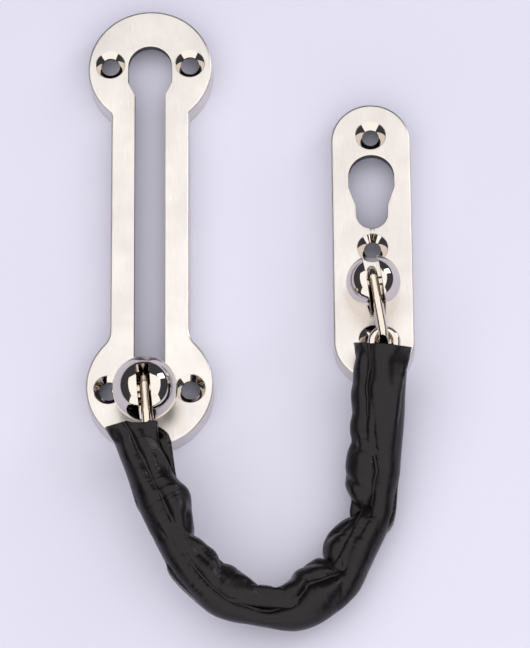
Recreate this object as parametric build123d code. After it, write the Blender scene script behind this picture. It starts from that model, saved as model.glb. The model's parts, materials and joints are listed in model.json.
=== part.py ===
"""Door chain guard: a slotted slide plate, a ball knob that runs in its slot, an eleven-link
chain in a leather sleeve and a holder plate with a ball post. Millimetres, +Z up from the backs.
The origin is the middle of the slide plate's back. The chain leaves the knob towards -Y, turns
through a U and comes back to the post. Everything lies flat, as it would on a table."""
from build123d import *
from math import asin, cos, degrees, radians, sin
import os

os.makedirs("parts", exist_ok=True)

# Clearances
FIT = 0.35                      # between parts that move past each other
TIGHT = 0.16                    # half of the gap between two sleeve lengths

# Pressed plates (shells with open backs)
PLATE_H = 8.5                   # back to face
FACE_T = 2.5                    # thickness of the face
SKIRT_T = 2.2                   # thickness of the side wall
EDGE_R = 0.9                    # rounded edge around the face

# Slide plate
LOBE_D = 40.0
LOBE_SPACING = 108.0            # between the centres of the two round ends
WAIST_W = 25.0
WAIST_TOP_R = 1.5               # corner where the upper end meets the waist
WAIST_LOW_R = 7.0               # softer curve at the lower end
SLIDE_HOLE_IN = 7.2             # screw holes, in from the side of a round end
SLIDE_HOLE_PAST = 1.2           # and past its centre
SLIDE_HOLE_D = 6.0
SLIDE_SINK_D = 9.2
SLOT_W = 9.7
KEY_W = 13.9
KEY_PAST = 0.5                  # round top of the keyhole, past the upper end's centre
SLOT_PAST = 4.6                 # low end of the slot, past the lower end's centre
KEY_STRAIGHT = 5.5              # straight sides below it
KEY_SHOULDER = 4.5              # sloping shoulders below those

# Ball knob that runs in the slot
KNOB_D = 20.3
NECK_PLAY = 1.15                # around the neck, in the slot
FLANGE_T = 2.2
KNOB_RIM = 2.5                  # closed back of the knob's slot
PIN_D = 3.0

# Chain
WIRE_D = 3.0
LINK_PLAY = 0.65                # around the next link's wire, inside an end arc
KNOB_PLAY = 0.6                 # beside a link in the knob's slot
POST_PLAY = 0.8                 # and in the post's
LINK_STRAIGHT = 15.7            # straight part of a link's sides
HEADINGS = (4, 8, 25, 47, 86, 126, 153, 176, 176, 174, 189)
SLOPES = (-3, -3, -2.5, -3, -12.5, -13, -0.5, 8, 15, 9)      # the last link closes the chain

# Leather sleeve
SLEEVE_T = 0.8
SLEEVE_LIFT = 1.7               # the links lie low in the sleeve
SLEEVE_FROM_KNOB = 2.55         # from the ball to the first mouth
SLEEVE_STOP = 13.6              # how far it runs along the tenth link

# Holder plate, laid out from the post
HOLDER_L = 93.0
HOLDER_W = 25.4
POST_D = 17.0
POST_IN = 28.2                  # post centre, in from the plate's low end
HOLDER_TOP_IN = 10.8            # end screw holes, in from the plate's ends
HOLDER_LOW_IN = 13.0
MID_HOLE_FROM_POST = 15.6
HOLDER_HOLE_D = 5.4
HOLDER_SINK_D = 9.5
PARK_PLAY = 0.6                 # around the knob's flange in the parking hole
PARK_NECK_PLAY = 1.3            # and around its neck
PARK_FROM_POST = 40.0           # round top of the parking hole
PARK_END_FROM_POST = 27.3       # centre of its narrow end
PARK_STRAIGHT = 3.7
PARK_SHOULDER = 6.2
POST_PIN_Z = 11.0               # above the plate's face
POST_SLOT_FLOOR = 2.5           # above the plate's face
SHANK_D = 8.0
TAIL_D = 11.0
TAIL_T = 1.6

# Sizes that follow from those above
LINK_W = 3 * WIRE_D + 2 * LINK_PLAY             # outside width of a link
ARC_R = (LINK_W - WIRE_D) / 2
LINK_COUNT = len(HEADINGS)
SLEEVE_D = LINK_W + 2 * (SLEEVE_LIFT + FIT + SLEEVE_T)
SLEEVE_START = KNOB_D / 2 + SLEEVE_FROM_KNOB    # from the knob's pin to the first mouth
NECK_D = SLOT_W - 2 * NECK_PLAY
FLANGE_D = KEY_W - 2 * FIT
PARK_W = FLANGE_D + 2 * PARK_PLAY
PARK_SLOT_W = NECK_D + 2 * PARK_NECK_PLAY
KNOB_SLOT_W = WIRE_D + 2 * KNOB_PLAY
POST_SLOT_W = WIRE_D + 2 * POST_PLAY
SLIDE_HOLE_X = LOBE_D / 2 - SLIDE_HOLE_IN
SLIDE_HOLE_Y = LOBE_SPACING / 2 + SLIDE_HOLE_PAST
POST_FROM_MID = POST_IN - HOLDER_L / 2          # places along the holder plate, from its middle
PARK_Y = POST_FROM_MID + PARK_FROM_POST
PARK_END = POST_FROM_MID + PARK_END_FROM_POST
HOLDER_HOLES = (HOLDER_L / 2 - HOLDER_TOP_IN, POST_FROM_MID + MID_HOLE_FROM_POST, HOLDER_LOW_IN - HOLDER_L / 2)
KEY_Y = LOBE_SPACING / 2 + KEY_PAST
KNOB_X = FIT - NECK_PLAY                        # the neck leans on one side of the slot
KNOB_Y = -(LOBE_SPACING / 2 + SLOT_PAST)
KNOB_Z = PLATE_H + FIT + KNOB_D / 2
POST_Z = PLATE_H + POST_PIN_Z


def save(name, shape):
    shape.label = name
    export_step(shape, f"parts/{name}.step")


# ---- layout of the chain ------------------------------------------------------------------

def heading(angle, slope=0.0):
    """Unit vector: 0 degrees points along -Y, 90 along +X; slope is measured up from level."""
    a, s = radians(angle), radians(slope)
    return Vector(sin(a) * cos(s), -cos(a) * cos(s), sin(s))


def is_upright(index):
    """Links 1, 3, 5 ... stand on edge and the ones between lie flat."""
    return index % 2 == 0


def lay_chain(start):
    """Walks along the chain from the knob's pin to the post's, giving each link's middle and
    direction and the pivots between the links."""
    middles, ways, pivots = [], [], [start]
    near = start                                # centre of the link's first end arc
    for i in range(LINK_COUNT):
        if i + 1 < LINK_COUNT:
            slope = SLOPES[i]
        else:
            slope = degrees(asin((POST_Z - near.Z) / LINK_STRAIGHT))
        way = heading(HEADINGS[i], slope)
        far = near + way * LINK_STRAIGHT
        middles.append((near + far) * 0.5)
        ways.append(way)
        if i + 1 == LINK_COUNT:
            pivots.append(far)
        elif is_upright(i):
            near = far + heading(HEADINGS[i], SLOPES[i + 1]) * ARC_R
            pivots.append(near)
        else:
            near = far + heading(HEADINGS[i + 1], SLOPES[i]) * ARC_R
            pivots.append(far)
    return middles, ways, pivots


# ---- plates -------------------------------------------------------------------------------

def shell(outline, inner):
    """Plate with a rounded face edge and an open back."""
    body = extrude(outline, PLATE_H)
    body = fillet(body.faces().sort_by(Axis.Z)[-1].outer_wire().edges(), EDGE_R)
    return body - extrude(inner, PLATE_H - FACE_T)


def lobed_outline(inset=0.0):
    """Narrow waist between two round ends, with sharper corners at the upper end."""
    shape = Rectangle(WAIST_W - 2 * inset, LOBE_SPACING)
    for side in (-1, 1):
        shape += Pos(0, side * LOBE_SPACING / 2) * Circle(LOBE_D / 2 - inset)
    for side, radius in ((1, WAIST_TOP_R), (-1, WAIST_LOW_R)):
        corners = [v for v in shape.vertices() if abs(v.X) < LOBE_D / 2 - 2 * inset - 1 and v.Y * side > 0
                   and abs(v.X) > 1]
        shape = fillet(corners, radius + inset)
    return shape


def keyhole(width, narrow, top, straight, shoulder, end):
    """Round top, straight sides, sloping shoulders and a narrow slot with a round end."""
    bottom = top - straight - shoulder
    neck = Polyline(
        (-width / 2, top), (-width / 2, top - straight), (-narrow / 2, bottom),
        (-narrow / 2, end), (narrow / 2, end), (narrow / 2, bottom),
        (width / 2, top - straight), (width / 2, top), close=True)
    return make_face(neck) + Pos(0, top) * Circle(width / 2) + Pos(0, end) * Circle(narrow / 2)


def sunk_hole(x, y, hole_d, sink_d):
    depth = (sink_d - hole_d) / 2
    hole = Pos(x, y, PLATE_H / 2) * Cylinder(hole_d / 2, PLATE_H + 2)
    sink = Pos(x, y, PLATE_H - depth / 2) * Cone(hole_d / 2, sink_d / 2, depth)
    return hole + sink


def make_slide_plate():
    plate = shell(lobed_outline(), lobed_outline(SKIRT_T))
    slot = keyhole(KEY_W, SLOT_W, KEY_Y, KEY_STRAIGHT, KEY_SHOULDER, KNOB_Y)
    plate -= extrude(slot, PLATE_H + 1)
    for x in (-1, 1):
        for y in (-1, 1):
            plate -= sunk_hole(x * SLIDE_HOLE_X, y * SLIDE_HOLE_Y, SLIDE_HOLE_D, SLIDE_SINK_D)
    return plate


def make_holder_plate():
    """Built around its own middle, length along Y."""
    outline = SlotOverall(HOLDER_L, HOLDER_W, rotation=90)
    inner = SlotOverall(HOLDER_L - 2 * SKIRT_T, HOLDER_W - 2 * SKIRT_T, rotation=90)
    plate = shell(outline, inner)
    park = keyhole(PARK_W, PARK_SLOT_W, PARK_Y, PARK_STRAIGHT, PARK_SHOULDER, PARK_END)
    plate -= extrude(park, PLATE_H + 1)
    for y in HOLDER_HOLES:
        plate -= sunk_hole(0, y, HOLDER_HOLE_D, HOLDER_SINK_D)
    plate -= Pos(0, POST_FROM_MID, PLATE_H / 2) * Cylinder(SHANK_D / 2, PLATE_H + 2)
    return plate


# ---- knob and post ------------------------------------------------------------------------

def make_knob():
    """One turned piece around its own axis. The slot opens along +X and upwards."""
    bottom = PLATE_H + FIT - KNOB_Z
    ball = Sphere(KNOB_D / 2) - Pos(0, 0, bottom + 0.1 - KNOB_D / 2) * Cylinder(KNOB_D, KNOB_D)
    neck_low = PLATE_H - FACE_T - FIT - KNOB_Z
    neck = Pos(0, 0, (neck_low + bottom + 1) / 2) * Cylinder(NECK_D / 2, bottom + 1 - neck_low)
    flange = Pos(0, 0, neck_low - FLANGE_T / 2) * Cylinder(FLANGE_D / 2, FLANGE_T)
    knob = ball + neck + flange
    floor = -(LINK_W / 2 + 1.2)
    slot = Box(KNOB_D - KNOB_RIM, KNOB_SLOT_W, KNOB_D)
    knob -= Pos(KNOB_RIM / 2, 0, floor + KNOB_D / 2) * slot
    return knob - Rot(90, 0, 0) * Cylinder(PIN_D / 2, KNOB_D)


def make_post():
    """Dome on a round post with a riveted tail, around the pin's height. The slot runs along X."""
    face = -POST_PIN_Z
    body = Sphere(POST_D / 2) + Pos(0, 0, face / 2) * Cylinder(POST_D / 2, POST_PIN_Z)
    body += Pos(0, 0, face - FACE_T / 2) * Cylinder(SHANK_D / 2, FACE_T)
    body += Pos(0, 0, face - FACE_T - TAIL_T / 2) * Cylinder(TAIL_D / 2, TAIL_T)
    height = POST_D + POST_PIN_Z
    body -= Pos(0, 0, face + POST_SLOT_FLOOR + height / 2) * Box(POST_D * 1.2, POST_SLOT_W, height)
    return body - Rot(90, 0, 0) * Cylinder(PIN_D / 2, POST_D)


def make_pin(head_d):
    return Rot(90, 0, 0) * Cylinder(PIN_D / 2, head_d - 0.8)


# ---- chain and sleeve ---------------------------------------------------------------------

def make_link():
    """Wire loop in the XY plane, long way along X."""
    ring = Pos(0, ARC_R, 0) * Rot(0, 90, 0) * Cylinder(WIRE_D / 2, LINK_STRAIGHT)
    ring += Pos(0, -ARC_R, 0) * Rot(0, 90, 0) * Cylinder(WIRE_D / 2, LINK_STRAIGHT)
    section = Pos(0, ARC_R, 0) * Rot(0, 90, 0) * Circle(WIRE_D / 2)
    bend = revolve(section, axis=Axis.Z, revolution_arc=180)
    ring += Pos(-LINK_STRAIGHT / 2, 0, 0) * bend
    ring += Pos(LINK_STRAIGHT / 2, 0, 0) * Rot(0, 0, 180) * bend
    return ring


def place_link(index, middle, way):
    side = heading(HEADINGS[index] + 90)
    normal = side if is_upright(index) else way.cross(side)
    return Plane(origin=middle, x_dir=way, z_dir=normal).location * make_link()


def half_space(point, normal):
    """Big block on the far side of a plane."""
    size = 6 * SLEEVE_D
    return Plane(origin=point, z_dir=normal).location * Pos(0, 0, size / 2) * Box(size, size, size)


def sleeve_length(index, middles, ways, pivots):
    """Straight tube around one link, mitred at the pivots to meet its neighbours."""
    way = ways[index]
    up = way.cross(heading(HEADINGS[index] + 90))
    middle = middles[index] + up * SLEEVE_LIFT
    seat = Plane(origin=middle, x_dir=up, z_dir=way).location
    length = LINK_STRAIGHT + 4 * SLEEVE_D
    tube = seat * (Cylinder(SLEEVE_D / 2, length) - Cylinder(SLEEVE_D / 2 - SLEEVE_T, length + 2))
    if index == 0:
        start, start_way = pivots[0] + way * SLEEVE_START, way
    else:
        start_way = (way + ways[index - 1]).normalized()
        start = pivots[index] + start_way * TIGHT
    if index == LINK_COUNT - 2:
        stop, stop_way = pivots[index] + way * SLEEVE_STOP, way
    else:
        stop_way = (way + ways[index + 1]).normalized()
        stop = pivots[index + 1] - stop_way * TIGHT
    tube -= half_space(start, start_way * -1)
    tube -= half_space(stop, stop_way)
    return tube


# ---- build everything ---------------------------------------------------------------------

pin_at = Vector(KNOB_X, KNOB_Y, KNOB_Z)
middles, ways, pivots = lay_chain(pin_at)
post_at = pivots[-1]

save("slide_plate", make_slide_plate())

knob_seat = Location(pin_at) * Rot(0, 0, HEADINGS[0] - 90)
save("slide_knob", knob_seat * make_knob())
save("knob_pin", knob_seat * make_pin(KNOB_D))

for i in range(LINK_COUNT):
    save(f"link_{i + 1:02d}", place_link(i, middles[i], ways[i]))

for i in range(LINK_COUNT - 1):
    save(f"sleeve_{i + 1:02d}", sleeve_length(i, middles, ways, pivots))

post_seat = Location(post_at) * Rot(0, 0, HEADINGS[-1] - 90)
save("post", post_seat * make_post())
save("post_pin", post_seat * make_pin(POST_D))
save("holder_plate", Pos(post_at.X, post_at.Y - POST_FROM_MID, 0) * make_holder_plate())
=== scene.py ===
# %% [markdown]
# A door chain guard, laid flat: a slotted slide plate with a ball knob in its slot, a short
# chain in a black leather sleeve, and a holder plate with a domed post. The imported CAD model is
# loaded first and never moved. Every piece below is a finer mesh that takes a CAD node's place.

# %% Load the frame
import json
import math
import random

import bmesh
import bpy
import numpy as np
from mathutils import Matrix, Vector, noise


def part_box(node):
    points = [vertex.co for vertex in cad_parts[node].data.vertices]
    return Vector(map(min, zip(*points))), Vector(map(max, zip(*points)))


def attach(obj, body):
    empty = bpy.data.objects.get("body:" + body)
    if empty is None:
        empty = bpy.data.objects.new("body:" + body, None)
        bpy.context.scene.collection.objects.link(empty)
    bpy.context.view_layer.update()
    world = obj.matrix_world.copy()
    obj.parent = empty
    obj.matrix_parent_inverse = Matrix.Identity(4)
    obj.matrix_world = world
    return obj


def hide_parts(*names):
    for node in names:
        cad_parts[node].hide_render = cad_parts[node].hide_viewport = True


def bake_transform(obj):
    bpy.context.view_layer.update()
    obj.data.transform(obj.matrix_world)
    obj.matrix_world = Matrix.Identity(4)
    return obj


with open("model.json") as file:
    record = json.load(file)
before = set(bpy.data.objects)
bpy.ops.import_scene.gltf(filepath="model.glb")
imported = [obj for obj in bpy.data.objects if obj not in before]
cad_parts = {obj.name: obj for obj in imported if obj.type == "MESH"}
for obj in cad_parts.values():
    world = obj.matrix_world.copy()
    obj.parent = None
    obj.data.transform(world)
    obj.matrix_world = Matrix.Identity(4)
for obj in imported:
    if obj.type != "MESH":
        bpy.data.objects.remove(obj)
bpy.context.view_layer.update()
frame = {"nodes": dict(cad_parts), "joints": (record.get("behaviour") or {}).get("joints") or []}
joints = {j["name"]: j for j in frame["joints"]}
MM = 0.001

# %% [markdown]
# Sizes are in millimetres and are turned to metres in one place.
# Where a piece sits is read from the frame: from a joint's position, or from the middle and the
# long and short ways of a CAD node's own points.

# %% Measuring the frame


def mm(*values):
    """Millimetres to metres, as a vector when there are three."""
    scaled = [v * MM for v in values]
    return Vector(scaled) if len(scaled) == 3 else scaled


def pivot(name):
    return Vector(joints[name]["pos_m"])


def points_of(node):
    mesh = frame["nodes"][node].data
    co = np.empty(len(mesh.vertices) * 3)
    mesh.vertices.foreach_get("co", co)
    return np.unique(co.reshape(-1, 3).round(7), axis=0)


def seat_of(node):
    """Matrix that puts a piece made along X, flat in XY, where a CAD node lies."""
    co = points_of(node)
    middle = (co.min(0) + co.max(0)) / 2
    ways = np.linalg.svd(co - co.mean(0), full_matrices=False)[2]
    long_way, thin_way = Vector(ways[0]), Vector(ways[2])
    if abs(thin_way.z) > 0.5 and thin_way.z < 0:
        thin_way.negate()
    side = thin_way.cross(long_way).normalized()
    turn = Matrix((long_way, side, thin_way)).transposed().to_4x4()
    spans = (co - middle) @ np.array(turn.to_3x3())
    shift = turn.to_3x3() @ Vector((spans.min(0) + spans.max(0)) / 2)
    return Matrix.Translation(Vector(middle) + shift) @ turn


print("link 6 sits at", [round(v, 4) for v in seat_of("link_06").translation])

# %% [markdown]
# Each piece starts as an empty bmesh and ends in one function that merges doubles, points the
# faces outwards, keeps crisp edges crisp and hands the piece to its CAD body.

# %% Finishing a piece


def hide_and_ride(obj, body, nodes):
    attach(obj, body)
    if nodes:
        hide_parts(*nodes)


def finish_piece(bm, name, material, seat=None, sharp=32.0, outward=True):
    """Turns a bmesh in metres into an object at the origin, placed by its seat."""
    bmesh.ops.remove_doubles(bm, verts=bm.verts, dist=0.00001)
    if outward:
        bmesh.ops.recalc_face_normals(bm, faces=bm.faces)
    if seat is not None:
        bmesh.ops.transform(bm, matrix=seat, verts=bm.verts)
    mesh = bpy.data.meshes.new(name)
    bm.to_mesh(mesh)
    bm.free()
    mesh.shade_smooth()
    mesh.set_sharp_from_angle(angle=math.radians(sharp))
    mesh.materials.append(material)
    obj = bpy.data.objects.new(name, mesh)
    bpy.context.scene.collection.objects.link(obj)
    weight = obj.modifiers.new("even_faces", "WEIGHTED_NORMAL")
    weight.keep_sharp = True
    print(name, "faces", len(mesh.polygons))
    return obj


# %% [markdown]
# Materials are small node graphs. One function adds a node with its settings and links, and one
# turns a hex colour, as shown on a screen, into the linear colour that Cycles works in.

# %% Material helpers


def linear(hex_colour):
    def channel(c):
        c /= 255
        return c / 12.92 if c <= 0.04045 else ((c + 0.055) / 1.055) ** 2.4
    value = int(hex_colour.lstrip("#"), 16)
    return (*(channel(value >> s & 255) for s in (16, 8, 0)), 1.0)


def add(tree, kind, links=None, **settings):
    """Adds a node. Settings name its properties or its sockets; links map sockets to outputs."""
    node = tree.nodes.new(kind)
    for key, value in settings.items():
        if hasattr(node, key):
            setattr(node, key, value)
        else:
            node.inputs[key.replace("_", " ")].default_value = value
    for key, source in (links or {}).items():
        tree.links.new(source, node.inputs[key])
    return node


def new_material(name):
    material = bpy.data.materials.new(name)
    material.use_nodes = True
    tree = material.node_tree
    shader = tree.nodes["Principled BSDF"]
    return material, tree, shader


# %% [markdown]
# Satin nickel is cast zinc, brushed along its length with a fine belt and plated with nickel. It
# is pale and a little warm, and each scratch stretches the light across the brushing. The
# scratches are drawn about 0.15 mm apart, coarser than real ones, so that they show.

# %% Satin nickel


def satin_nickel():
    material, tree, shader = new_material("satin_nickel_plate")
    place = add(tree, "ShaderNodeTexCoord").outputs["Object"]
    along = add(tree, "ShaderNodeMapping", {"Vector": place}, Scale=(6500, 180, 6500))
    scratch = add(tree, "ShaderNodeTexNoise", {"Vector": along.outputs[0]}, Scale=1.0, Detail=3.0)
    cloud = add(tree, "ShaderNodeTexNoise", {"Vector": place}, Scale=70.0, Detail=4.0)
    cast = add(tree, "ShaderNodeTexNoise", {"Vector": place}, Scale=1400.0, Detail=2.0)
    rough = add(tree, "ShaderNodeMapRange", {"Value": scratch.outputs[0]}, From_Min=0.3, From_Max=0.7)
    rough.inputs["To Min"].default_value = 0.27
    rough.inputs["To Max"].default_value = 0.40
    tint = add(tree, "ShaderNodeValToRGB", {"Fac": cloud.outputs[0]})
    tint.color_ramp.elements[0].position = 0.35
    tint.color_ramp.elements[0].color = linear("#D6D1CE")
    tint.color_ramp.elements[1].position = 0.65
    tint.color_ramp.elements[1].color = linear("#E2DEDB")
    fine = add(tree, "ShaderNodeBump", {"Height": scratch.outputs[0]}, Strength=0.10, Distance=0.00005)
    grain = add(tree, "ShaderNodeBump", {"Height": cast.outputs[0], "Normal": fine.outputs[0]},
                Strength=0.06, Distance=0.00005)
    shader.inputs["Metallic"].default_value = 1.0
    tree.links.new(tint.outputs[0], shader.inputs["Base Color"])
    tree.links.new(rough.outputs[0], shader.inputs["Roughness"])
    tree.links.new(grain.outputs[0], shader.inputs["Normal"])
    return material


SATIN = satin_nickel()

# %% [markdown]
# The knob, the post and the links are turned or drawn metal, buffed before plating, so they
# mirror the room. A faint unevenness in roughness and surface keeps the mirror from looking like
# glass: buffing leaves soft waves a few millimetres long.

# %% Polished nickel


def polished_nickel(name, colour, roughness):
    material, tree, shader = new_material(name)
    place = add(tree, "ShaderNodeTexCoord").outputs["Object"]
    wave = add(tree, "ShaderNodeTexNoise", {"Vector": place}, Scale=260.0, Detail=2.0)
    smear = add(tree, "ShaderNodeTexNoise", {"Vector": place}, Scale=900.0, Detail=4.0)
    rough = add(tree, "ShaderNodeMapRange", {"Value": smear.outputs[0]}, From_Min=0.3, From_Max=0.7)
    rough.inputs["To Min"].default_value = roughness * 0.7
    rough.inputs["To Max"].default_value = roughness * 1.6
    bump = add(tree, "ShaderNodeBump", {"Height": wave.outputs[0]}, Strength=0.12, Distance=0.0001)
    shader.inputs["Base Color"].default_value = linear(colour)
    shader.inputs["Metallic"].default_value = 1.0
    tree.links.new(rough.outputs[0], shader.inputs["Roughness"])
    tree.links.new(bump.outputs[0], shader.inputs["Normal"])
    return material


POLISHED = polished_nickel("polished_nickel_turned", "#D6CFC8", 0.05)
WIRE = polished_nickel("polished_nickel_wire", "#D3CAC0", 0.09)

# %% [markdown]
# The hollow back of a plate is left as it came from the mould: dull grey zinc, matt and darker than
# the plated face. Its grey is also painted shade, far darker than bare zinc, to keep the inside of the slot and
# the screw holes dark.

# %% Raw zinc, darkened as painted shade


def zinc_back_with_painted_shade():
    material, tree, shader = new_material("zinc_casting_painted_shade")
    place = add(tree, "ShaderNodeTexCoord").outputs["Object"]
    grit = add(tree, "ShaderNodeTexNoise", {"Vector": place}, Scale=900.0, Detail=4.0)
    tint = add(tree, "ShaderNodeValToRGB", {"Fac": grit.outputs[0]})
    # Painted shade: these greys are far darker than bare zinc, so the slot and the holes read dark.
    tint.color_ramp.elements[0].color = linear("#4A4A4E")
    tint.color_ramp.elements[1].color = linear("#66666A")
    bump = add(tree, "ShaderNodeBump", {"Height": grit.outputs[0]}, Strength=0.3, Distance=0.0001)
    shader.inputs["Metallic"].default_value = 1.0
    shader.inputs["Roughness"].default_value = 0.6
    tree.links.new(tint.outputs[0], shader.inputs["Base Color"])
    tree.links.new(bump.outputs[0], shader.inputs["Normal"])
    return material


ZINC_PAINTED_SHADE = zinc_back_with_painted_shade()
# The back's material number carries the darkened zinc, painted shade for the slot and the holes.
SATIN_FACE, POLISHED_CONE, ZINC_BACK_PAINTED_SHADE = range(3)      # material numbers on a plate

# %% [markdown]
# Both plates are shells cast in one piece: a face 2.5 mm thick with a rounded edge, a side wall
# and an open back. Every outline is drawn like a pen stroke, with straight runs extruded from the
# last point and arcs spun around their centres. A plate is then a stack of such loops, one above
# the other, each bridged to the next: up the inside of the wall, round its foot, up the outside
# and over the rounded edge. A hole is a stack of loops as well, from the face down.

# %% Plate sizes (mm)
PLATE_H = 8.5
FACE_T = 2.5
SKIRT_T = 2.2
EDGE_R = 0.9
ARC_STEP = 4.0      # degrees per step of an arc

# %% Drawing loops and bridging them


def pen(bm, start, strokes, z=0.0):
    """Draws a closed loop in millimetres: ("to", x, y) or ("arc", x, y, degrees) about a centre."""
    drawn = set(bm.edges)
    first = tip = bm.verts.new(mm(*start, z))
    for stroke in strokes:
        if stroke[0] == "to":
            tip = bmesh.ops.extrude_vert_indiv(bm, verts=[tip])["verts"][0]
            tip.co = mm(stroke[1], stroke[2], z)
        else:
            spun = bmesh.ops.spin(bm, geom=[tip], cent=mm(stroke[1], stroke[2], z), axis=(0, 0, 1),
                                  angle=math.radians(stroke[3]),
                                  steps=max(2, round(abs(stroke[3]) / ARC_STEP)))
            tip = spun["geom_last"][0]
    bmesh.ops.weld_verts(bm, targetmap={tip: first})
    return [e for e in bm.edges if e not in drawn]


def fill_between(bm, edges, finish=0):
    """Fills the flat area between loops, such as a plate's outline and its holes."""
    made = bmesh.ops.triangle_fill(bm, edges=edges, use_beauty=True, normal=(0, 0, 1))["geom"]
    for f in made:
        if isinstance(f, bmesh.types.BMFace):
            f.material_index = finish


def bridge_stack(bm, outline, levels, finishes):
    """Draws outline(grow) at each (grow, z) and joins neighbours. Returns first and last loop."""
    loops = [pen(bm, *outline(grow), z) for grow, z in levels]
    for i, finish in enumerate(finishes):
        both = loops[i] + loops[i + 1]
        if levels[i][1] == levels[i + 1][1]:
            fill_between(bm, both, finish)
        else:
            for f in bmesh.ops.bridge_loops(bm, edges=both)["faces"]:
                f.material_index = finish
    return loops[0], loops[-1]


# %% Levels of a wall, a slot and a countersink
WALL = [(-SKIRT_T, PLATE_H - FACE_T), (-SKIRT_T, 0.25), (-SKIRT_T + 0.2, 0.0), (-0.2, 0.0), (0.0, 0.25)]
WALL += [(-EDGE_R * (1 - math.cos(math.radians(a))), PLATE_H - EDGE_R * (1 - math.sin(math.radians(a))))
         for a in (0, 22.5, 45, 67.5, 90)]
SLOT = [(0.3, PLATE_H), (0.09, PLATE_H - 0.09), (0.0, PLATE_H - 0.3), (0.0, PLATE_H - FACE_T)]


def sink_levels(hole_d, sink_d):
    """Growth is counted from the through hole: eased edge, cone, bore."""
    wide = (sink_d - hole_d) / 2
    return [(wide + 0.2, PLATE_H), (wide, PLATE_H - 0.15), (0.0, PLATE_H - wide - 0.15),
            (0.0, PLATE_H - FACE_T)]


def circle(x, y, d):
    return lambda grow: ((x + d / 2 + grow, y), [("arc", x, y, 360)])


def cast_plate(outline, holes):
    """One shell with its holes; holes are (outline, levels)."""
    bm = bmesh.new()
    ceiling, face = bridge_stack(bm, outline, WALL, [ZINC_BACK_PAINTED_SHADE] * 2 + [SATIN_FACE] * (len(WALL) - 3))
    for hole, levels in holes:
        # The slot's walls take the back's darkened zinc, painted shade inside the slot.
        side = ZINC_BACK_PAINTED_SHADE if levels is SLOT else POLISHED_CONE
        upper, lower = bridge_stack(bm, hole, levels, [SATIN_FACE, side, ZINC_BACK_PAINTED_SHADE])
        face += upper
        ceiling += lower
    fill_between(bm, face, SATIN_FACE)
    fill_between(bm, ceiling, ZINC_BACK_PAINTED_SHADE)
    return bm


# %% [markdown]
# The slide plate is a narrow waist between two round ends. The waist meets the upper end in a
# tight corner and the lower end in a softer curve. A fillet between a straight side and a round
# end has its centre outside the plate, and both tangent points follow from that.

# %% Slide plate
LOBE_R = 20.0
LOBE_Y = 54.0
WAIST = 12.5
CORNER_R = {1: 1.5, -1: 7.0}
SLIDE_HOLES = (12.8, 55.2, 6.0, 9.2)
SLIDE_KEY = (13.9, 9.7, 54.5, 5.5, 4.5, -58.6)      # wide, narrow, top, straight, shoulder, end


def waist_corner(side):
    """Height of a corner's fillet centre, and the angle the fillet turns through."""
    drop = math.sqrt((LOBE_R + CORNER_R[side]) ** 2 - (WAIST + CORNER_R[side]) ** 2)
    return LOBE_Y - drop, math.degrees(math.atan2(drop, WAIST + CORNER_R[side]))


def slide_outline(grow):
    (up_y, up_turn), (low_y, low_turn) = waist_corner(1), waist_corner(-1)
    up_x, low_x, w = WAIST + CORNER_R[1], WAIST + CORNER_R[-1], WAIST + grow
    return (w, up_y), [
        ("arc", up_x, up_y, -up_turn), ("arc", 0, LOBE_Y, 180 + 2 * up_turn),
        ("arc", -up_x, up_y, -up_turn), ("to", -w, -low_y),
        ("arc", -low_x, -low_y, -low_turn), ("arc", 0, -LOBE_Y, 180 + 2 * low_turn),
        ("arc", low_x, -low_y, -low_turn), ("to", w, up_y)]


def keyhole(wide, narrow, top, straight, shoulder, end):
    def outline(grow):
        w, n = wide / 2 + grow, narrow / 2 + grow
        low = top - straight - shoulder
        return (w, top), [("arc", 0, top, 180), ("to", -w, top - straight), ("to", -n, low), ("to", -n, end),
                          ("arc", 0, end, 180), ("to", n, low), ("to", w, top - straight), ("to", w, top)]
    return outline


def make_slide_plate():
    x, y, hole_d, sink_d = SLIDE_HOLES
    sinks = [(circle(i * x, j * y, hole_d), sink_levels(hole_d, sink_d)) for i in (-1, 1) for j in (-1, 1)]
    bm = cast_plate(slide_outline, sinks + [(keyhole(*SLIDE_KEY), SLOT)])
    obj = finish_piece(bm, "slide_plate_cast", SATIN)
    obj.data.materials.append(POLISHED)
    obj.data.materials.append(ZINC_PAINTED_SHADE)
    hide_and_ride(obj, "slide_plate", ["slide_plate"])


make_slide_plate()

# %% [markdown]
# The holder plate is made the same way: a long rounded bar with three countersunk screw holes and
# a short keyhole where the knob can be parked.

# %% Holder plate
HOLDER_L = 93.0
HOLDER_W = 25.4
HOLDER_HOLES = (35.7, -2.7, -33.5)
HOLDER_SINK = (5.4, 9.5)
PARK_KEY = (14.4, 10.0, 21.7, 3.7, 6.2, 9.0)


def holder_outline(grow):
    half, reach = HOLDER_W / 2 + grow, (HOLDER_L - HOLDER_W) / 2
    return (half, -reach), [("to", half, reach), ("arc", 0, reach, 180), ("to", -half, -reach),
                            ("arc", 0, -reach, 180)]


def make_holder_plate():
    sinks = [(circle(0, y, HOLDER_SINK[0]), sink_levels(*HOLDER_SINK)) for y in HOLDER_HOLES]
    bm = cast_plate(holder_outline, sinks + [(keyhole(*PARK_KEY), SLOT)])
    low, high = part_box("holder_plate")
    middle = (Vector(low) + Vector(high)) / 2
    obj = finish_piece(bm, "holder_plate_cast", SATIN, Matrix.Translation((middle.x, middle.y, 0)))
    obj.data.materials.append(POLISHED)
    obj.data.materials.append(ZINC_PAINTED_SHADE)
    hide_and_ride(obj, "holder", ["holder_plate"])


make_holder_plate()

# %% [markdown]
# The knob and the post are turned parts with a milled slot. A lathe turns a profile about the
# axis that runs across the slot, not about the part's own height. That way a ring of the mesh
# falls exactly on each side of the slot, so the slot is opened by deleting whole faces, and its
# edge can be rounded cleanly on a surface as shiny as this.

# %% Turning tools


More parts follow.
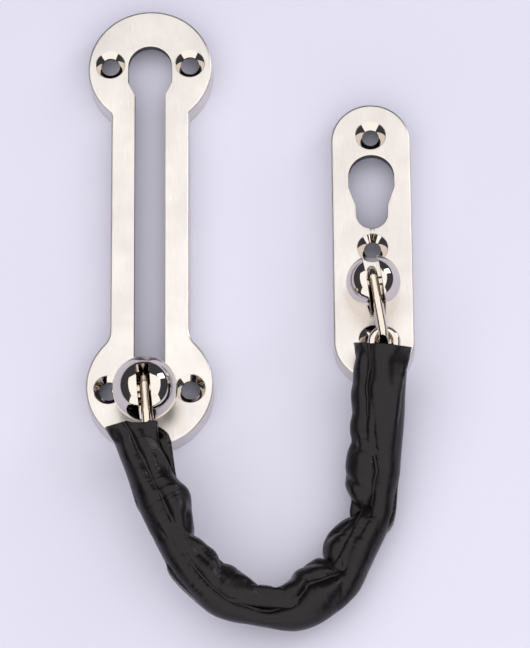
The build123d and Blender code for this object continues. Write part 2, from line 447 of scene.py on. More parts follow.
def axis_seat(joint_name):
    """Seat at a pin: Y runs along the pin, Z is up and X points the way the chain leaves."""
    across = -Vector(joints[joint_name]["axis"]).normalized()
    up = Vector((0, 0, 1))
    turn = Matrix((across.cross(up), across, up)).transposed().to_4x4()
    return Matrix.Translation(pivot(joint_name)) @ turn


def lathe(bm, profile, axis, angle=360, steps=72):
    """Spins a profile, a list of points in millimetres, about an axis through the origin."""
    tip = bm.verts.new(mm(*profile[0]))
    line = [tip]
    for point in profile[1:]:
        tip = bmesh.ops.extrude_vert_indiv(bm, verts=[tip])["verts"][0]
        tip.co = mm(*point)
        line.append(tip)
    edges = [e for v in line for e in v.link_edges]
    whole = angle == 360
    spun = bmesh.ops.spin(bm, geom=line + list(set(edges)), cent=(0, 0, 0), axis=axis,
                          angle=math.radians(angle), steps=steps, use_merge=whole)
    bmesh.ops.remove_doubles(bm, verts=bm.verts, dist=0.000005)
    return spun


def ball_profile(radius, half_slot, steps):
    """Half circle in XY from pole to pole with a point on each side of the slot."""
    edge = math.degrees(math.asin(half_slot / radius))
    side = [edge + (90 - edge) * i / steps for i in range(steps + 1)]
    turns = [-a for a in reversed(side)] + [0.0] + side
    return [(radius * math.cos(math.radians(a)), radius * math.sin(math.radians(a)), 0) for a in turns]


def open_slot(bm, half_slot, inside):
    """Deletes the band between the slot's sides where inside(place) is true."""
    doomed = [f for f in bm.faces if abs(f.calc_center_median().y) < half_slot * MM
              and inside(f.calc_center_median() / MM)]
    bmesh.ops.delete(bm, geom=doomed, context="FACES")


def close_slot(bm, floor_path, half_slot, round_mm):
    """Draws the slot's floor along a path, closes its walls and rounds its mouth."""
    mouth = {e for e in bm.edges if e.is_boundary}
    line = [bm.verts.new(mm(x, -half_slot, z)) for x, z in floor_path[:1]]
    for x, z in floor_path[1:]:
        line.append(bmesh.ops.extrude_vert_indiv(bm, verts=line[-1:])["verts"][0])
        line[-1].co = mm(x, -half_slot, z)
    edges = list({e for v in line for e in v.link_edges})
    grown = bmesh.ops.extrude_edge_only(bm, edges=edges)
    moved = [g for g in grown["geom"] if isinstance(g, bmesh.types.BMVert)]
    bmesh.ops.translate(bm, verts=moved, vec=mm(0, 2 * half_slot, 0))
    bmesh.ops.remove_doubles(bm, verts=bm.verts, dist=0.00003)
    bmesh.ops.holes_fill(bm, edges=[e for e in bm.edges if e.is_boundary], sides=0)
    bmesh.ops.recalc_face_normals(bm, faces=bm.faces)
    rim = [e for e in mouth if e.is_valid and len(e.link_faces) == 2]
    bmesh.ops.bevel(bm, geom=rim, offset=round_mm * MM, offset_type="OFFSET", segments=3,
                    profile=0.5, affect="EDGES", material=-1, clamp_overlap=True)


# %% [markdown]
# The knob is a plain ball on a short neck. Below the slide plate's face it has a flange that
# passes only the wide end of the keyhole. Its slot opens towards the chain and upwards, and a rim
# closes it at the back. The pin that holds the first link is pressed in across the slot.

# %% Knob
KNOB_R = 10.15
KNOB_SLOT = 2.1
NECK_R = 3.7
FLANGE_R = 6.6
KNOB_LEVELS = (-10.0, -12.65, -13.35, -15.05)     # neck top, flange top, its edge, its foot
SLOT_FRONT, SLOT_BACK = -40.0, 120.0              # degrees up from the way the chain leaves


def on_ball(radius, half_slot, degrees_up):
    reach = math.sqrt(radius ** 2 - half_slot ** 2)
    return reach * math.cos(math.radians(degrees_up)), reach * math.sin(math.radians(degrees_up))


def make_knob():
    seat = axis_seat("knob_pivot")
    bm = bmesh.new()
    lathe(bm, ball_profile(KNOB_R, KNOB_SLOT, 26), (0, 1, 0))
    front, back = on_ball(KNOB_R, KNOB_SLOT, SLOT_FRONT), on_ball(KNOB_R, KNOB_SLOT, SLOT_BACK)

    def in_slot(place):
        turn = math.degrees(math.atan2(place.z, place.x))
        return SLOT_FRONT < turn < SLOT_BACK

    open_slot(bm, KNOB_SLOT, in_slot)
    bend = 4.0
    middle_x, middle_z = back[0] + bend, front[1] + bend
    arc = [(middle_x - bend * math.cos(math.radians(a)), middle_z - bend * math.sin(math.radians(a)))
           for a in range(0, 91, 15)]
    close_slot(bm, [back] + arc + [front], KNOB_SLOT, 0.35)
    top, flange, edge, foot = KNOB_LEVELS
    stem = [(0, 0, top + 1), (NECK_R, 0, top + 1), (NECK_R, 0, flange), (FLANGE_R - 0.3, 0, flange),
            (FLANGE_R, 0, flange - 0.3), (FLANGE_R, 0, foot + 0.3), (FLANGE_R - 0.3, 0, foot), (0, 0, foot)]
    lathe(bm, stem, (0, 0, 1), steps=64)
    obj = finish_piece(bm, "slide_knob_turned", POLISHED, seat, sharp=40)
    hide_and_ride(obj, "knob", ["slide_knob"])


make_knob()

# %% [markdown]
# The post is a dome on a column of the same width, riveted to the holder plate from below. The
# dome is half a ball, and its rim is extruded down in two steps, to the slot's floor and to the
# plate.

# %% Post
POST_R = 8.5
POST_SLOT = 2.3
POST_FACE = -11.0       # plate face below the pin
POST_FLOOR = -8.5
SHANK_R = 4.0
TAIL_R = 5.5
TAIL_T = 1.6


def make_post():
    seat = axis_seat("post_pivot")
    bm = bmesh.new()
    lathe(bm, ball_profile(POST_R, POST_SLOT, 24), (0, 1, 0), angle=-180, steps=36)
    rim = [e for e in bm.edges if e.is_boundary]
    for drop in (POST_FLOOR, POST_FACE - POST_FLOOR + 0.12, -0.12):
        grown = bmesh.ops.extrude_edge_only(bm, edges=rim)["geom"]
        rim = [g for g in grown if isinstance(g, bmesh.types.BMEdge)]
        bmesh.ops.translate(bm, verts=list({v for e in rim for v in e.verts}), vec=mm(0, 0, drop))
    bmesh.ops.contextual_create(bm, geom=rim)
    open_slot(bm, POST_SLOT, lambda place: place.z > POST_FLOOR)
    side = math.sqrt(POST_R ** 2 - POST_SLOT ** 2)
    close_slot(bm, [(-side, POST_FLOOR), (side, POST_FLOOR)], POST_SLOT, 0.3)
    under = POST_FACE - FACE_T
    tail = [(0, 0, POST_FACE + 1), (SHANK_R, 0, POST_FACE + 1), (SHANK_R, 0, under), (TAIL_R, 0, under),
            (TAIL_R, 0, under - TAIL_T / 2), (TAIL_R - 0.8, 0, under - TAIL_T), (0, 0, under - TAIL_T)]
    lathe(bm, tail, (0, 0, 1), steps=64)
    obj = finish_piece(bm, "post_turned", POLISHED, seat, sharp=40)
    hide_and_ride(obj, "holder", ["post"])


make_post()

# %% Pins
PIN_R = 1.5


def make_pin(node, joint_name, body, length):
    bm = bmesh.new()
    half = length / 2
    lathe(bm, [(0, -half, 0), (PIN_R - 0.3, -half, 0), (PIN_R, 0.3 - half, 0), (PIN_R, half - 0.3, 0),
               (PIN_R - 0.3, half, 0), (0, half, 0)], (0, 1, 0), steps=32)
    obj = finish_piece(bm, node + "_drawn", WIRE, axis_seat(joint_name), sharp=40)
    hide_and_ride(obj, body, [node])


make_pin("knob_pin", "knob_pivot", "knob", 2 * KNOB_R - 0.8)
make_pin("post_pin", "post_pivot", "holder", 2 * POST_R - 0.8)

# %% [markdown]
# A link is one length of round wire bent into a loop and butt-welded in the middle of a straight
# side. A ring of points is spun round one end, extruded along the side, spun round the other end
# and joined up. The weld is a slightly raised band, made by four extra rings.

# %% Links
WIRE_R = 1.5
BEND_R = 3.65
LINK_STRAIGHT = 15.7
WELD = ((-0.8, 1.0), (-0.3, 1.045), (0.3, 1.045), (0.8, 1.0))     # along the wire, swell


def run_wire(bm, ring, places):
    """Extrudes a ring along X through places given as (x, swell)."""
    for x, swell in places:
        geom = bmesh.ops.extrude_edge_only(bm, edges=ring)["geom"]
        ring = [g for g in geom if isinstance(g, bmesh.types.BMEdge)]
        verts = list({v for e in ring for v in e.verts})
        middle = sum((v.co for v in verts), Vector()) / len(verts)
        size = (verts[0].co - middle).length
        bmesh.ops.translate(bm, verts=verts, vec=(x * MM - middle.x, 0, 0))
        middle.x = x * MM
        bmesh.ops.scale(bm, verts=verts, vec=(1, swell * WIRE_R * MM / size, swell * WIRE_R * MM / size),
                        space=Matrix.Translation(-middle))
    return ring


def bend_wire(bm, ring, centre_x):
    geom = ring + list({v for e in ring for v in e.verts})
    spun = bmesh.ops.spin(bm, geom=geom, cent=mm(centre_x, 0, 0), axis=(0, 0, 1),
                          angle=math.radians(-180), steps=20)
    return [g for g in spun["geom_last"] if isinstance(g, bmesh.types.BMEdge)]


def make_link(index):
    node = f"link_{index:02d}"
    bm = bmesh.new()
    half = LINK_STRAIGHT / 2
    place = Matrix.Translation(mm(half, BEND_R, 0)) @ Matrix.Rotation(math.radians(90), 4, "Y")
    circle_verts = bmesh.ops.create_circle(bm, segments=24, radius=WIRE_R * MM, matrix=place)["verts"]
    ring = bend_wire(bm, list({e for v in circle_verts for e in v.link_edges}), half)
    ring = run_wire(bm, ring, [(half * 0.5, 1.0), (0.0, 1.0), (-half * 0.5, 1.0), (-half, 1.0)])
    ring = bend_wire(bm, ring, -half)
    run_wire(bm, ring, [(-half * 0.5, 1.0), *WELD, (half * 0.5, 1.0), (half, 1.0)])
    obj = finish_piece(bm, node + "_wire", WIRE, seat_of(node), sharp=60)
    hide_and_ride(obj, f"chain_{index:02d}", [node])


for number in range(1, 12):
    make_link(number)

# %% [markdown]
# The sleeve is one tube of glossy black imitation leather, about 50 mm round, sewn with one seam
# on top. It is long enough for the outside of the bend, so the outside lies taut and the inside,
# with too much length, buckles into folds. The folds start at creases listed one by one: a crease is
# a straight line on the tube's skin, from the inside of the bend towards the seam. Then the cloth
# is simulated, so that the leather between the creases swells and settles by itself.

# %% Sleeve sizes (mm)
SLEEVE_ROUND = 50.0         # distance round the tube
SLEEVE_THICK = 0.8
SLEEVE_START = 12.7         # first mouth, past the knob's pin
SLEEVE_STOP = 13.6          # second mouth, past the last covered meeting of links
SLEEVE_LIFT = 1.7           # the chain hangs low in the tube
MOUTH_OFFSET = 5.2          # the tube's first mouth hangs to the outside of its link
OFFSET_END = 24.0           # where the tube is over the chain again
SKIN_R = 8.0                # turns degrees round the tube into millimetres
REACH_UP, REACH_DOWN = 6.6, 7.8
REACH_IN = ((0, 6.9), (10, 7.1), (25, 7.7), (140, 7.9), (155, 8.4), (175, 8.2))
REACH_OUT = ((0, 7.2), (22, 7.2), (44, 6.8), (60, 7.8), (82, 9.4), (95, 8.4), (105, 7.2), (118, 6.8),
             (128, 7.0), (136, 8.0), (155, 8.5), (175, 8.2))

# %% [markdown]
# Places on the skin are (distance along, degrees round). Zero degrees is the top, 90 is the
# inside of the bend and -90 the outside.

# %% Seam, creases and bulges
SEAM = ((0, -16), (14, -6), (24, 3), (39, 0), (58, -18), (70, -38), (74, -40), (80, -12), (87, 20), (97, 2),
        (110, 18), (122, 10), (135, -4), (150, 22), (162, 36), (175, 36))
CREASES = (                 # from, to, depth, width
    ((39, 160), (38, 4), 3.2, 2.0), ((30, 70), (37, 25), 1.0, 1.3), ((51, 110), (57, 8), 2.0, 1.5),
    ((42, 28), (56, 22), 1.3, 1.3), ((67, 150), (73, -22), 4.0, 2.2), ((78, 150), (74, -22), 4.4, 2.0),
    ((102, 165), (101, 20), 4.2, 1.6), ((90, 95), (98, 22), 1.5, 1.6), ((122, 178), (122, 12), 6.0, 3.2),
    ((109, 75), (118, 30), 1.2, 1.3), ((134, 85), (127, 8), 1.5, 1.4), ((13, 40), (21, 12), 0.9, 1.5),
    ((101, -5), (92, -55), 0.9, 1.3), ((38, -6), (33, -45), 0.6, 1.2), ((146, 95), (141, 30), 0.7, 1.6))
BULGES = (                  # place, height, spread in mm
    ((25, 90), 2.4, 8.0), ((60, 85), 1.2, 7.0), ((90, 85), 2.8, 9.0), ((110, 90), 2.4, 6.0), ((135, 88), 2.6, 8.0),
    ((46, 85), 0.4, 4.0), ((73, 80), -2.4, 5.0), ((160, 90), 0.8, 9.0), ((31, 20), 0.8, 4.0))

# %% The line that the sleeve follows


def sideways(place):
    return MOUTH_OFFSET * np.maximum(0, 1 - place / OFFSET_END) ** 1.5


def sleeve_line(samples):
    """Points, outward and upward ways at even steps along the covered chain, in mm."""
    pins = [pivot("knob_pivot")] + [pivot(f"link_turn_{k:02d}") for k in range(1, 11)]
    pins = np.array([p / MM for p in pins])
    first = pins[0] + (pins[1] - pins[0]) / np.linalg.norm(pins[1] - pins[0]) * SLEEVE_START
    last = pins[9] + (pins[10] - pins[9]) / np.linalg.norm(pins[10] - pins[9]) * SLEEVE_STOP
    knots = np.vstack([first, pins[1:10], last])
    marks = np.concatenate([[0], np.cumsum(np.linalg.norm(np.diff(knots, axis=0), axis=1))])
    fine = np.linspace(0, marks[-1], 2001)
    line = np.stack([np.interp(fine, marks, knots[:, k]) for k in range(3)], 1)
    reach = 90                                      # rounds the corners over about 8 mm each way
    weights = np.hanning(2 * reach + 1)
    padded = np.vstack([2 * line[0] - line[reach:0:-1], line, 2 * line[-1] - line[-2:-reach - 2:-1]])
    line = np.stack([np.convolve(padded[:, k], weights / weights.sum(), "valid") for k in range(3)], 1)
    offset = sideways(fine)
    for shift in (0.0, offset):
        way = np.gradient(line, axis=0)
        way /= np.linalg.norm(way, axis=1)[:, None]
        out = np.cross(way, (0, 0, 1))
        out /= np.linalg.norm(out, axis=1)[:, None]
        line = line + out * np.reshape(shift, (-1, 1))
    up = np.cross(out, way)
    line = line + up * SLEEVE_LIFT
    pick = np.linspace(0, 2000, samples).astype(int)
    return marks, fine[pick], line[pick], out[pick], up[pick], way[pick]


AROUND = 36
ALONG = 140
PIN_MARKS, PLACE, LINE, OUT, UP, WAY = sleeve_line(ALONG)
print("sleeve along its middle:", round(PLACE[-1], 1), "mm")

# %% Shaping the skin


def on_skin(place, turn, a, b):
    """Distance in mm from points of the skin to the line between two places."""
    p = np.stack(np.broadcast_arrays(place, turn * math.radians(SKIN_R)), -1)
    a, b = (np.array([q[0], q[1] * math.radians(SKIN_R)]) for q in (a, b))
    share = np.clip(((p - a) @ (b - a)) / max((b - a) @ (b - a), 1e-9), 0, 1)
    return np.linalg.norm(p - a - share[..., None] * (b - a), axis=-1), share


def skin_points(core=None):
    """Grid of places in mm. Column 0 is the seam; columns run towards the inside of the bend."""
    seam = np.interp(PLACE, *zip(*SEAM))[:, None]
    turn = seam + 360 * np.arange(AROUND)[None, :] / AROUND
    turn = (turn + 180) % 360 - 180
    place = PLACE[:, None]
    lift = np.zeros(turn.shape)
    for a, b, depth, width in CREASES:
        away, share = on_skin(place, turn, a, b)
        lift -= depth * (1.15 - 0.55 * share) * np.exp(-(away / width) ** 1.25)
    for at, height, spread in BULGES:
        away, _ = on_skin(place, turn, at, at)
        lift += height * np.exp(-(away / spread) ** 2)
    rough = [[noise.noise(Vector((s * 0.16, math.sin(math.radians(t)) * 1.6, math.cos(math.radians(t)) * 1.6)))
              for t in row] for s, row in zip(PLACE, turn)]
    lift += 0.55 * np.array(rough) * (1 + np.sin(np.radians(turn)))
    side, high = -np.sin(np.radians(turn)), np.cos(np.radians(turn))
    reach_out = np.interp(PLACE, *zip(*REACH_OUT))[:, None]
    reach_in = np.interp(PLACE, *zip(*REACH_IN))[:, None]
    across = side * (np.where(side > 0, reach_out, reach_in) + lift)
    height = high * (np.where(high > 0, REACH_UP, REACH_DOWN) + lift)
    if core is not None:
        across, height = core * side - sideways(PLACE)[:, None], core * high - SLEEVE_LIFT
    lip = 0.9 * (1 - high) * (np.exp(-(place / 6) ** 2) * -1 + np.exp(-((PLACE[-1] - place) / 6) ** 2))
    return (LINE[:, None] + OUT[:, None] * across[..., None] + UP[:, None] * height[..., None]
            + WAY[:, None] * lip[..., None])


def make_tube(name, points, scale=1.0):
    """Tube mesh over a grid of places in mm: a ring of edges extruded again and again."""
    along, around = points.shape[:2]
    bm = bmesh.new()
    verts = bmesh.ops.create_circle(bm, segments=around, radius=1.0)["verts"]
    ring = list({e for v in verts for e in v.link_edges})
    for i in range(1, along):
        grown = bmesh.ops.extrude_edge_only(bm, edges=ring)["geom"]
        ring = [g for g in grown if isinstance(g, bmesh.types.BMEdge)]
        bmesh.ops.translate(bm, verts=list({v for e in ring for v in e.verts}), vec=(0, 0, 1.0))
    uv = bm.loops.layers.uv.new("skin")
    step = math.tau / around
    spots = {}
    for v in bm.verts:
        column = round(math.atan2(v.co.y, v.co.x) / step) % around
        spots[v] = (round(v.co.z), column)
    for f in bm.faces:
        columns = [spots[loop.vert][1] for loop in f.loops]
        wraps = max(columns) - min(columns) > 1
        for loop in f.loops:
            i, j = spots[loop.vert]
            j += around if wraps and j == 0 else 0
            loop[uv].uv = (j / around * SLEEVE_ROUND * MM, i / along * PLACE[-1] * MM)
    for v, (i, j) in spots.items():
        v.co = Vector(points[i, j]) * (MM * scale)
        v.index = i * around + j
    bm.verts.sort()
    bmesh.ops.recalc_face_normals(bm, faces=bm.faces)
    mesh = bpy.data.meshes.new(name)
    bm.to_mesh(mesh)
    bm.free()
    mesh.shade_smooth()
    obj = bpy.data.objects.new(name, mesh)
    bpy.context.scene.collection.objects.link(obj)
    return obj


def places_of(mesh, shape):
    co = np.empty(len(mesh.vertices) * 3)
    mesh.vertices.foreach_get("co", co)
    return co.reshape(*shape, 3) / MM


# %% [markdown]
# Blender's cloth is tuned for things about as large as a person, so the sleeve is simulated
# twenty times its size. Negative shrinking gives the leather more area than it starts with, and
# it swells between its creases. The chain inside is one round core that it can't sink into. No
# point may end further from where it started than a cap, so the drawn folds stay in place.

# %% Simulating the leather
GROW = 20.0
FRAMES = 14
SWELL = -0.035
CORE_R = 5.3
CAP = 1.3           # mm


def simulate(points):
    tube = make_tube("leather_cloth", points, GROW)
    core = make_tube("chain_core", skin_points(CORE_R), GROW)
    core.modifiers.new("hard", "COLLISION")
    core.collision.thickness_outer = 0.006
    held = tube.vertex_groups.new(name="mouths")
    held.add(list(range(AROUND)) + list(range((ALONG - 1) * AROUND, ALONG * AROUND)), 1.0, "REPLACE")
    cloth = tube.modifiers.new("leather", "CLOTH")
    s = cloth.settings
    s.quality = 5
    s.mass = 0.3
    s.tension_stiffness = s.compression_stiffness = 50
    s.shear_stiffness = 25
    s.bending_stiffness = 8
    s.tension_damping = s.compression_damping = s.shear_damping = 20
    s.bending_damping = 2
    s.air_damping = 5
    s.shrink_min = s.shrink_max = SWELL
    s.effector_weights.gravity = 0.1
    s.vertex_group_mass = "mouths"
    cloth.collision_settings.collision_quality = 2
    cloth.collision_settings.distance_min = 0.01
    cloth.point_cache.frame_start, cloth.point_cache.frame_end = 1, FRAMES
    for frame_number in range(1, FRAMES + 1):
        bpy.context.scene.frame_set(frame_number)
    settled = tube.evaluated_get(bpy.context.evaluated_depsgraph_get()).data
    after = places_of(settled, points.shape[:2]) / GROW
    bpy.context.scene.frame_set(1)
    for helper in (tube, core):
        bpy.data.objects.remove(helper)
    move = after - points
    far = np.linalg.norm(move, axis=-1, keepdims=True)
    print("cloth moved up to", round(float(far.max()), 2), "mm")
    return points + move * np.minimum(1, CAP / np.maximum(far, 1e-9))


def finer(points):
    """Doubles a grid both ways on a smooth curve: round the tube, and along it."""
    def mix(a, before, after, middle):
        return np.stack([(before + 6 * a + after) / 8, middle], 1)
    around = points.transpose(1, 0, 2)
    ahead = np.roll(around, -1, 0)
    around = mix(around, np.roll(around, 1, 0), ahead, (around + ahead) / 2).reshape(-1, *around.shape[1:])
    along = around.transpose(1, 0, 2)
    low, high = np.vstack([along[:1], along[:-1]]), np.vstack([along[1:], along[-1:]])
    doubled = mix(along, low, high, (along + high) / 2).reshape(-1, *along.shape[1:])
    doubled[0], doubled[-2] = along[0], along[-1]
    return doubled[:-1]


SOFT = skin_points()
SOFT = simulate(SOFT)
for _ in range(2):
    SOFT = finer(SOFT)
print("sleeve grid", SOFT.shape)

# %% [markdown]
# The seam lies in a groove: two edges are turned in and sewn, so the skin dips on both sides of
# a thin ridge. The thread pulls every few millimetres, which puckers the skin next to it into
# short wrinkles across. These are sewn in after the simulation, which is too coarse for them.

# %% Sewing the seam
GROOVE = 1.7
RIDGE = 0.7
PUCKER = 0.10


def normals_of(points):
    n = np.cross(np.gradient(points, axis=0), np.roll(points, -1, 1) - np.roll(points, 1, 1))
    n /= np.linalg.norm(n, axis=-1, keepdims=True)
    middle = points.mean(1, keepdims=True)
    return n if ((points - middle) * n).sum() > 0 else -n


def sew(points):
    along, around = points.shape[:2]
    place = np.linspace(0, PLACE[-1], along)[:, None]
    column = np.arange(around)[None, :]
    off = ((column + around / 2) % around - around / 2) * SLEEVE_ROUND / around
    wander = np.array([0.5 * noise.noise(Vector((s * 0.12, 3.0, 0.0))) for s in place[:, 0]])[:, None]
    off = off + wander
    lift = -GROOVE * np.exp(-(off / 2.1) ** 2) + RIDGE * np.exp(-(off / 0.5) ** 2)
    waves = np.array([[noise.noise(Vector((s * 0.42, o * 0.10, 7.0))) for o in row]
                      for s, row in zip(place[:, 0], np.broadcast_to(off, (along, around)))])
    fine = np.array([[noise.noise(Vector((s * 1.1, o * 0.12, 2.0))) for o in row]
                     for s, row in zip(place[:, 0], np.broadcast_to(off, (along, around)))])
    near = np.exp(-(np.abs(off) / 5.5) ** 1.5)
    lift = lift + PUCKER * (3.0 * waves * near + 0.8 * fine * (0.2 + near))
    return points + normals_of(points) * lift[..., None]


SOFT = sew(SOFT)

# %% [markdown]
# Where a crease is deeper than the room round the chain, the leather lies on a link instead. Each
# link's cross-section is known at every place along the sleeve: an odd link stands on edge and an
# even one lies flat. Points nearer than the leather's thickness are moved out to that line.

# %% Laying the leather on the links
LINK_GAP = 0.95         # skin to link: the leather's thickness and a little air


def link_sections(place):
    """Half width and half height of the links' cross-sections at each place, one pair per link."""
    for k in range(1, 11):
        upright = k % 2 == 1
        low, high = (PIN_MARKS[k - 1] if k > 1 else -SLEEVE_START), (PIN_MARKS[k] if k < 10 else PIN_MARKS[-1] + 9)
        inset = BEND_R if upright else 0.0
        past = np.maximum(low + inset - place, place - high + inset)
        reach = np.sqrt(np.maximum(0, (BEND_R + WIRE_R) ** 2 - np.maximum(past, 0) ** 2))
        thin = np.where(reach > 0, WIRE_R, 0.0)
        yield (thin, reach) if upright else (reach, thin)


def lay_on_links(points):
    _, place, line, out, up, _ = sleeve_line(len(points))
    rel = points - line[:, None]
    x, y = (rel * out[:, None]).sum(-1), (rel * up[:, None]).sum(-1)
    far = np.hypot(x, y)
    cos, sin = x / far, y / far
    least = np.zeros(far.shape)
    for wide, tall in link_sections(place):
        wide, tall = wide[:, None], tall[:, None]
        for step in np.arange(0.2, 9.5, 0.1):
            dx, dy = np.abs(step * cos + sideways(place)[:, None]), np.abs(step * sin + SLEEVE_LIFT)
            inside = (dx < wide + LINK_GAP) & (dy < tall + LINK_GAP) & (wide > 0)
            least = np.where(inside, np.maximum(least, step + 0.1), least)
    over = far - least
    settled = least + 0.5 * (over + np.sqrt(over ** 2 + 0.25 ** 2))
    settled = np.where(least > 0, settled, far)
    print("laid on the links:", int((over < 0).sum()), "points")
    return points + ((settled - far) / far)[..., None] * (x[..., None] * out[:, None] + y[..., None] * up[:, None])


SOFT = lay_on_links(SOFT)

# %% [markdown]
# The material is polyurethane on cloth: near black, glossy, with a fine grain pressed in and faint
# creases across the tube where it has been bent. Grain on real film is about 0.3 mm, and it is
# drawn 0.6 mm wide here so that it shows as a break-up of the highlights.

# %% Black imitation leather


def black_leather():
    material, tree, shader = new_material("black_polyurethane_leather")
    skin = add(tree, "ShaderNodeUVMap", uv_map="skin").outputs[0]
    grain = add(tree, "ShaderNodeTexVoronoi", {"Vector": skin}, Scale=1600.0)
    stretch = add(tree, "ShaderNodeMapping", {"Vector": skin}, Scale=(90, 900, 1))
    wrinkle = add(tree, "ShaderNodeTexNoise", {"Vector": stretch.outputs[0]}, Scale=1.0, Detail=3.0)
    patch = add(tree, "ShaderNodeTexNoise", {"Vector": skin}, Scale=160.0, Detail=3.0)
    rough = add(tree, "ShaderNodeMapRange", {"Value": patch.outputs[0]}, From_Min=0.3, From_Max=0.7)
    rough.inputs["To Min"].default_value = 0.24
    rough.inputs["To Max"].default_value = 0.42
    tint = add(tree, "ShaderNodeValToRGB", {"Fac": patch.outputs[0]})
    tint.color_ramp.elements[0].color = linear("#070606")
    tint.color_ramp.elements[1].color = linear("#141113")
    creased = add(tree, "ShaderNodeBump", {"Height": wrinkle.outputs[0]}, Strength=0.55, Distance=0.0003)
    pressed = add(tree, "ShaderNodeBump", {"Height": grain.outputs[0], "Normal": creased.outputs[0]},
                  Strength=0.12, Distance=0.00008)
    tree.links.new(tint.outputs[0], shader.inputs["Base Color"])
    tree.links.new(rough.outputs[0], shader.inputs["Roughness"])
    tree.links.new(pressed.outputs[0], shader.inputs["Normal"])
    shader.inputs["IOR"].default_value = 1.5
    shader.inputs["Specular IOR Level"].default_value = 0.36
    shader.inputs["Specular Tint"].default_value = linear("#EAE4EA")
    return material


LEATHER = black_leather()

# %% [markdown]
# The finished tube gets its thickness as a whole, and is then cut into nine lengths, each from
# the middle of one link to the middle of the next. The lengths keep the whole tube's normals, so
# the cuts don't show.

# %% Cutting the sleeve into lengths


def thick_tube():
    tube = make_tube("whole_sleeve", SOFT)
    wall = tube.modifiers.new("wall", "SOLIDIFY")
    wall.thickness = SLEEVE_THICK * MM
    wall.offset = -1
    whole = bpy.data.meshes.new_from_object(tube.evaluated_get(bpy.context.evaluated_depsgraph_get()))
    bpy.data.objects.remove(tube)
    return whole


def cut_sleeve():
    whole = thick_tube()
    normals = [tuple(n.vector) for n in whole.vertex_normals]
    around = SOFT.shape[1]
    place = np.linspace(0, PLACE[-1], SOFT.shape[0])
    cuts = [0] + [(PIN_MARKS[k] + PIN_MARKS[k + 1]) / 2 for k in range(1, 9)] + [PLACE[-1]]
    rows = np.searchsorted(place, cuts[:-1]).tolist() + [SOFT.shape[0] - 1]
    corners = np.empty(len(whole.loops), int)
    whole.loops.foreach_get("vertex_index", corners)
    on_row = corners.reshape(-1, 4) % (SOFT.shape[0] * around) // around
    for k in range(1, 10):
        low, high = rows[k - 1], rows[k]
        outside = (on_row.min(1) < low) | (on_row.max(1) > high)
        bm = bmesh.new()
        bm.from_mesh(whole)
        number = bm.verts.layers.int.new("number")
        for v in bm.verts:
            v[number] = v.index
        bm.faces.ensure_lookup_table()
        bmesh.ops.delete(bm, geom=[bm.faces[n] for n in np.flatnonzero(outside)], context="FACES")
        for row in (low, high):
            rim = [e for e in bm.edges if e.is_boundary
                   and e.verts[0][number] % (SOFT.shape[0] * around) // around == row]
            if rim:
                bmesh.ops.bridge_loops(bm, edges=rim)
        kept = [v[number] for v in bm.verts]
        mesh = bpy.data.meshes.new(f"sleeve_length_{k:02d}")
        bm.to_mesh(mesh)
        bm.free()
        mesh.attributes.remove(mesh.attributes["number"])
        mesh.shade_smooth()
        mesh.normals_split_custom_set_from_vertices([normals[n] for n in kept])
        mesh.materials.clear()
        mesh.materials.append(LEATHER)
        obj = bpy.data.objects.new(mesh.name, mesh)
        bpy.context.scene.collection.objects.link(obj)
        row = int(np.searchsorted(place, PIN_MARKS[k]))
        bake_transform(obj)
        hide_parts(*([f"sleeve_{k:02d}"] + (["sleeve_10"] if k == 9 else [])))
        print(mesh.name, "faces", len(mesh.polygons))
    bpy.data.meshes.remove(whole)


cut_sleeve()


# %% [markdown]
# The stage is a pale lavender table under a very large soft light, as in a product studio, with a
# second one standing in front. A mirror finish shows whatever is round it, so the room behind is
# left dark, and the table shows as the grey band round the knob's edge. A smaller panel at the
# back right adds the second highlight.

# %% Stage and lights


def table_paper():
    material, tree, shader = new_material("lavender_paper")
    place = add(tree, "ShaderNodeTexCoord").outputs["Object"]
    mottle = add(tree, "ShaderNodeTexNoise", {"Vector": place}, Scale=9.0, Detail=2.0)
    tint = add(tree, "ShaderNodeValToRGB", {"Fac": mottle.outputs[0]})
    tint.color_ramp.elements[0].color = linear("#D8D8EC")
    tint.color_ramp.elements[1].color = linear("#DFDFF1")
    tree.links.new(tint.outputs[0], shader.inputs["Base Color"])
    shader.inputs["Roughness"].default_value = 0.75
    return material


def make_table():
    bm = bmesh.new()
    bmesh.ops.create_grid(bm, x_segments=2, y_segments=2, size=2.5)
    obj = finish_piece(bm, "table", table_paper(), outward=False)
    obj.modifiers.clear()
    return obj


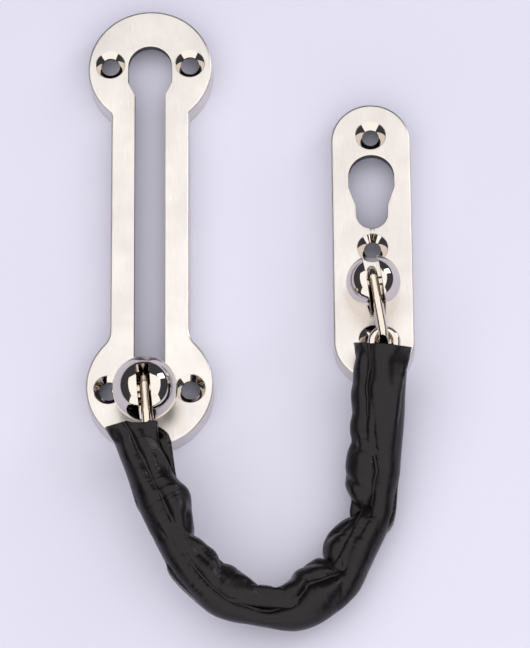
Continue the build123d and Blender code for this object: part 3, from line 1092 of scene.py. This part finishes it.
def softbox(name, place, aim, size, power, colour="#FFFFFF"):
    light = bpy.data.lights.new(name, "AREA")
    light.shape = "RECTANGLE"
    light.size, light.size_y = size
    light.energy = power
    light.color = linear(colour)[:3]
    obj = bpy.data.objects.new(name, light)
    bpy.context.scene.collection.objects.link(obj)
    obj.location = place
    obj.rotation_euler = (Vector(aim) - Vector(place)).to_track_quat("-Z", "Y").to_euler()
    return obj


MIDDLE = (0.036, -0.031, 0.0)
table = make_table()
panels = [
    softbox("softbox_high", (0.10, -0.30, 1.35), (0.10, -0.30, 0.0), (4.2, 2.5), 47.0, "#FFFCF8"),
    softbox("softbox_front", (0.10, -1.75, 0.72), (0.10, -0.30, 0.30), (4.2, 1.3), 24.0, "#FFFCF8"),
    softbox("softbox_right", (1.5, 0.9, 0.7), MIDDLE, (0.5, 0.8), 5.0, "#FFFFFF"),
]

world = bpy.data.worlds.new("studio_air")
world.use_nodes = True
bpy.context.scene.world = world
air = world.node_tree.nodes["Background"]
air.inputs["Color"].default_value = linear("#C9CADC")
air.inputs["Strength"].default_value = 0.10

# %% [markdown]
# The camera looks down from the front at about 70 degrees with a long lens, so the plates keep
# nearly parallel sides and the knob leans only a little towards the top.

# %% Camera
CAMERA_DISTANCE = 1.197
CAMERA_ELEVATION = 70.09
CAMERA_AZIMUTH = 3.88
CAMERA_ROLL = -0.5
CAMERA_AIM = (0.03605, -0.03123, 0.0)
FOCAL_PER_HEIGHT = 3789 / 648      # focal length over the frame's height


def make_camera():
    data = bpy.data.cameras.new("front_camera")
    data.sensor_fit = "VERTICAL"
    data.sensor_height = 36
    data.lens = 36 * FOCAL_PER_HEIGHT
    data.clip_start = 0.05
    obj = bpy.data.objects.new("front_camera", data)
    bpy.context.scene.collection.objects.link(obj)
    tilt, turn = math.radians(CAMERA_ELEVATION), math.radians(CAMERA_AZIMUTH)
    back = Vector((math.sin(turn) * math.cos(tilt), -math.cos(turn) * math.cos(tilt), math.sin(tilt)))
    obj.location = Vector(CAMERA_AIM) + back * CAMERA_DISTANCE
    right = (-back).cross(Vector((0, 1, 0))).normalized()
    turn = Matrix((right, right.cross(-back), back)).transposed()
    obj.rotation_euler = (turn @ Matrix.Rotation(math.radians(CAMERA_ROLL), 3, "Z")).to_euler()
    bpy.context.scene.camera = obj


make_camera()
bpy.context.scene.view_settings.view_transform = "Standard"
